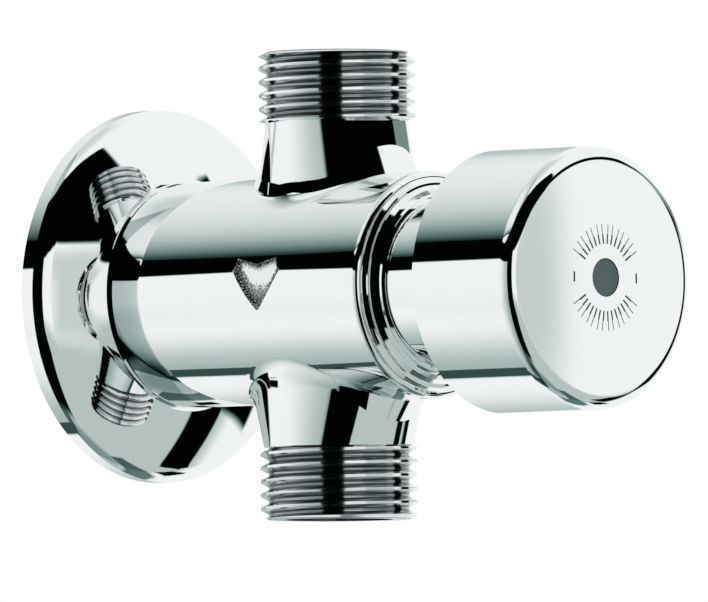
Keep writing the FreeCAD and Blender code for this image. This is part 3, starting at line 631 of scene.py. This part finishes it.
def close_rims(shape, sign, top_level):
    """Turn a stub's two rims inwards and join them inside the casting."""
    collar_draw, foot_sink = 0.12, 0.93
    axis = Vector((0, -PIPE_STATION * MM, 0))
    rims = [edge for edge in shape.edges if edge.is_boundary]
    top = [edge for edge in rims if edge.verts[0].co.z * sign > top_level]
    foot = [edge for edge in rims if edge not in set(top)]
    inner = []
    for rim in (top, foot):
        made = bmesh.ops.extrude_edge_only(shape, edges=rim)["geom"]
        for vert in (item for item in made if isinstance(item, bmesh.types.BMVert)):
            if rim is top:
                vert.co -= (Vector((vert.co.x, vert.co.y, 0)) - axis) * collar_draw
            else:
                vert.co = (vert.co.x * foot_sink, vert.co.y, vert.co.z * foot_sink)
        edges = [item for item in made if isinstance(item, bmesh.types.BMEdge)]
        inner += [edge for edge in edges if edge.is_boundary]
    bmesh.ops.bridge_loops(shape, edges=inner)
    bmesh.ops.recalc_face_normals(shape, faces=shape.faces)


def arrow_sides():
    """A point on each straight side of half the arrow, and the direction out of it."""
    sides = []
    for (up, along), (next_up, next_along) in zip(ARROW_HALF[:-1], ARROW_HALF[1:]):
        run = Vector((0, next_along - along, next_up - up)).normalized()
        out = Vector((0, run.z, -run.y))
        if out.dot(Vector((0, 1.5 - along, 1.5 - up))) > 0:
            out = -out
        sides.append((Vector((0, along, up)), out))
    return sides


def lining_height(spot, sides):
    """How far to the side of the valve's axis the lining stands. It sinks with its distance from the
    outline, and has pebbles on the walls and at the tip."""
    insets = [-(spot - corner).dot(out) for corner, out in sides]
    inset = ARROW_LOBE - math.hypot(*(max(ARROW_LOBE - gap, 0.0) for gap in insets))
    inset = max(inset, 0.0)
    cells = lumps.voronoi(spot * 3.2)[0]
    pebble = max(0.0, 1.0 - cells[0] * 1.5) + 0.5 * lumps.noise(spot * 9.0)
    rough = max(1.0 - inset / 1.5, (1.2 - spot.z) / 2.4, 0.0)
    cap = math.sqrt(BODY_RADIUS**2 - spot.z**2) - LINING_SINK
    fall = min(inset / ARROW_WALL, ARROW_DEPTH * (1.0 - math.exp(-inset / 0.55)) + 0.1)
    skin = BODY_RADIUS - min(fall, ARROW_DEPTH) + LINING_LIFT
    return min(skin + PEBBLE_HEIGHT * pebble * min(rough, 1.0) * min(inset / 0.4, 1.0), cap)


def arrow_lining():
    """The pebbled skin that the casting keeps in the sunk flow arrow: half of it, then its mirror."""
    shape = bmesh.new()
    bmesh.ops.create_grid(shape, x_segments=150, y_segments=90, size=1.0)
    for vert in shape.verts:
        up, along = vert.co.x * 4.6 + 0.4, (vert.co.y + 1.0) * 2.4
        vert.co = Vector((0, along, up))
    sides = arrow_sides()
    middle_line = (Vector((0, 0, 0)), Vector((0, -1, 0)))
    for spot, out in sides + [middle_line]:
        bmesh.ops.bisect_plane(
            shape, geom=all_of(shape), dist=1e-5, plane_co=spot, plane_no=out, clear_outer=True
        )
    for vert in shape.verts:
        vert.co.x = -lining_height(vert.co, sides)
    bmesh.ops.mirror(
        shape, geom=all_of(shape), matrix=Matrix.Identity(4), merge_dist=1e-4, axis="Y"
    )
    bmesh.ops.remove_doubles(shape, verts=shape.verts, dist=1e-4)
    middle = PIPE_STATION - ARROW_SHIFT
    for vert in shape.verts:
        vert.co = (vert.co.x * MM, -(middle + vert.co.y) * MM, vert.co.z * MM)
    back = bmesh.ops.extrude_face_region(shape, geom=list(shape.faces), use_keep_orig=True)["geom"]
    for vert in (item for item in back if isinstance(item, bmesh.types.BMVert)):
        vert.co.x += LINING_THICKNESS * MM
    bmesh.ops.recalc_face_normals(shape, faces=shape.faces)
    finished("arrow_lining", shape, cast_floor())


# Studio

# What stands dark in it: left, right, low and high edges in degrees, how soft they are, how the low
# and high edges lean, and how much of the light it keeps off
STANDS = (
    (70.0, 106.0, 13.6, 23.8, 1.5, -0.03, 1.0),
    (-160.0, -111.0, -22.0, -4.0, 2.0, 0.0, 1.0),
    (-112.0, -98.0, -13.5, -6.0, 2.0, 0.0, 1.0),
    (-125.0, -118.0, 6.0, 14.0, 2.0, 0.0, 1.0),
    (96.0, 108.3, -34.0, -14.0, 1.0, 0.0, 1.0),
    (103.0, 125.0, -17.0, 11.0, 2.0, 0.0, 1.0),
    (108.0, 125.0, -47.0, -37.0, 1.5, 0.0, 1.0),
    (104.0, 150.0, 9.0, 15.5, 2.0, -0.15, 0.72),
    (80.0, 180.0, -68.0, -52.0, 4.0, 0.0, 0.8),
)
EXPOSURE = 1.06
RED_CURVE = 1.25
BLUE_CURVE = 1.04


def directions(tree):
    """A mirrored direction in degrees: its turn from the camera's own direction, to the right, its
    height, and its roll about the valve's axis, 0 level to the left and 90 straight up."""
    way = node(tree, "TexCoord", None, out=0)
    sine, cosine = math.sin(CAMERA_AZIMUTH), math.cos(CAMERA_AZIMUTH)
    dot_product = {"operation": "DOT_PRODUCT"}
    rightward = node(tree, "VectorMath", dot_product, way, (cosine, sine, 0))
    forward = node(tree, "VectorMath", dot_product, way, (sine, -cosine, 0))
    x, y, upward = parts(way)
    turn = rightward.math("ARCTAN2", forward) * DEGREES
    height = upward.math("ARCSINE") * DEGREES
    roll = upward.math("ARCTAN2", -x) * DEGREES
    return turn, height, roll


def open_light(turn, height, roll, left):
    """How bright the studio is before anything stands in it."""
    light = 0.90 - 0.40 * rising(turn, -92.0, -28.0) * (1.0 - rising(turn, -1.0, 3.0))
    front_floor = within(turn, -29.0, 112.0, 8.0) * (1.0 - rising(height, -15.0, -6.0))
    left_floor = within(turn, -90.0, -29.0, 10.0) * (1.0 - rising(height, -20.0, -6.0))
    light = light - 0.36 * front_floor - 0.10 * left_floor

    # the left side, as the barrel and the button mirror it in bands along the valve
    quicker = 1.0 + 7.0 * rising(turn, -94.0, -80.0)
    climb = ((roll - 34.0).math("MAXIMUM", 0.0) * quicker / 24.0) ** 1.2
    sky = 0.84 - 0.84 * (-climb).math("EXPONENT")
    above = left * rising(roll, 33.0, 34.0) * (1.0 - rising(roll, 128.0, 134.0))
    above = above * rising(turn, -118.0, -109.0).math("MAXIMUM", rising(height, 24.0, 32.0))
    light = light + (sky - light) * above
    crest = left * rising(roll, 118.0, 160.0)
    below = left * (1.0 - rising(roll, -84.0, -36.0)) * rising(roll, -97.0, -94.0)
    under = left * (1.0 - rising(roll, -172.0, -104.0)) * (1.0 - rising(roll, -20.0, 0.0))
    light = light - 0.38 * crest - 0.44 * below - 0.40 * under

    face_shade = within(turn, 40.0, 87.5, 5.0) * within(height, -9.0, 13.0, 6.0)
    light = light - 0.28 * face_shade
    overhead = rising(height, 62.0, 80.0)
    light = light - 0.25 * overhead * light.math("MAXIMUM", 0.0)
    deep = 1.0 - rising(height, -74.0, -60.0)
    return light - 0.5 * deep * light.math("MAXIMUM", 0.0)


def stand(turn, height, left, right, low, high, soft, lean, strength):
    """Where one dark stand keeps the light off, and how much of it."""
    level = height - lean * (turn - (left + right) / 2)
    return within(turn, left, right, soft) * within(level, low, high, soft) * strength


def kept_off(turn, height, roll, left):
    """How much of the light everything dark in the studio keeps off."""
    strip_top = 24.3 + 0.0078 * (turn + 80.0).math("MAXIMUM", 0.0) ** 2
    strip = within(turn, -150.0, -26.0, 2.0) * rising(height, 11.8, 12.8)
    strip = strip * (1.0 - rising(height - strip_top, -0.5, 0.5))
    lowered = 1.0 - rising(height, -24.0, -12.0)
    column = rising(turn, -28.5, -26.5) * (1.0 - rising(turn - 9.0 * lowered, 7.0, 9.0))
    column = column * rising(height, -66.0, -54.0) * (1.0 - rising(height, 34.0, 36.0))
    big_top = 60.0 - 0.008 * (turn - 25.0).math("MAXIMUM", 0.0) ** 2
    big_top = big_top + 0.45 * turn.math("MINIMUM", 0.0)
    big_foot = 16.8 - 0.0007 * turn * turn
    big = rising(turn, -28.5, -26.5) * (1.0 - rising(turn + 0.4 * (height - 25.0), 75.0, 77.0))
    big = big * rising(height - big_foot, -0.7, 0.7) * (1.0 - rising(height - big_top, -1.0, 1.0))
    line = left * within(roll, -94.5, -84.5, 1.0) * 0.85
    dark = strip.math("MAXIMUM", column).math("MAXIMUM", big).math("MAXIMUM", line)
    for edges in STANDS:
        dark = dark.math("MAXIMUM", stand(turn, height, *edges))
    return dark


def studio():
    """White surroundings with what the chrome mirrors; the camera itself sees plain white."""
    world = bpy.data.worlds.new("studio")
    bpy.context.scene.world = world
    world.use_nodes = True
    tree = world.node_tree
    tree.nodes.clear()
    turn, height, roll = directions(tree)
    left = 1.0 - rising(turn, -28.0, -25.0)
    seen = open_light(turn, height, roll, left) * (1.0 - kept_off(turn, height, roll, left))
    seen = (seen * EXPOSURE).math("MAXIMUM", 0.001)
    colour = node(tree, "CombineColor", None, seen**RED_CURVE, seen, seen**BLUE_CURVE)
    mirrored = node(tree, "Background", None, colour, 1.0)
    backdrop = node(tree, "Background", None, (1, 1, 1, 1), 1.0)
    by_camera = node(tree, "LightPath", None, out=0)
    both = node(tree, "MixShader", None, by_camera, mirrored, backdrop)
    output = tree.nodes.new("ShaderNodeOutputWorld")
    join(output.inputs["Surface"], both)


def soft_lights():
    """Two large soft lights for the floor and the unplated pieces; the chrome doesn't mirror them."""
    for name, place, size, power in (
        ("overhead softbox", (0.0, -0.3, 1.6), 2.0, 16.0),
        ("front softbox", (-1.2, -1.4, 0.5), 1.4, 9.0),
    ):
        lamp = bpy.data.lights.new(name, "AREA")
        lamp.size = size
        lamp.energy = power
        box = linked(name, lamp)
        box.location = place
        box.rotation_mode = "QUATERNION"
        box.rotation_quaternion = (-Vector(place)).to_track_quat("-Z", "Y")
        box.visible_glossy = False


def floor():
    """A plain pale floor, well below the valve, which is made to hang on a wall."""
    shape = bmesh.new()
    bmesh.ops.create_circle(shape, cap_ends=True, radius=FLOOR_RADIUS * MM, segments=96)
    bmesh.ops.translate(shape, verts=shape.verts, vec=(0, 0, FLOOR_LEVEL * MM))
    mesh = bpy.data.meshes.new("floor")
    shape.to_mesh(mesh)
    shape.free()
    sheet = linked("floor", mesh)
    made, shader, place = material("pale floor")
    cloud = noise(place, 3.0, 2.0)
    feed(
        shader,
        Base_Color=blend(cloud, (0.86, 0.87, 0.87, 1), (0.83, 0.84, 0.84, 1)),
        Roughness=0.9,
    )
    mesh.materials.append(made)
    sheet.visible_glossy = False


def camera():
    """The photograph's camera: far off, with a long lens."""
    azimuth, elevation, roll = CAMERA_AZIMUTH, CAMERA_ELEVATION, CAMERA_ROLL
    back = Vector(
        (
            math.sin(azimuth) * math.cos(elevation),
            -math.cos(azimuth) * math.cos(elevation),
            math.sin(elevation),
        )
    )
    right = Vector((math.cos(azimuth), math.sin(azimuth), 0))
    up = back.cross(right)
    level_right = right * math.cos(roll) + up * math.sin(roll)
    level_up = up * math.cos(roll) - right * math.sin(roll)
    aim = Vector((0, -AIM_STATION, 0)) + right * AIM_RIGHT - up * AIM_DOWN
    lens = bpy.data.cameras.new("camera")
    lens.lens = CAMERA_LENS
    lens.sensor_width = SENSOR_WIDTH
    lens.clip_start, lens.clip_end = 0.1, 30.0
    seat = linked("camera", lens)
    turn = Matrix((level_right, level_up, back)).transposed().to_4x4()
    seat.matrix_world = Matrix.Translation((aim + back * CAMERA_DISTANCE) * MM) @ turn
    bpy.context.scene.camera = seat


bpy.context.scene.view_settings.view_transform = "Standard"
camera()
dress_nodes()
cast_body()
spring_coil()
stub_skin("inlet_stub_casting", 1, INLET_SHOULDER, INLET_NECK, 2.5, 12.3)
stub_skin("outlet_stub_casting", -1, OUTLET_SHOULDER, OUTLET_NECK, 3.4, 17.0)
face_ring()
arrow_lining()
studio()
soft_lights()
floor()
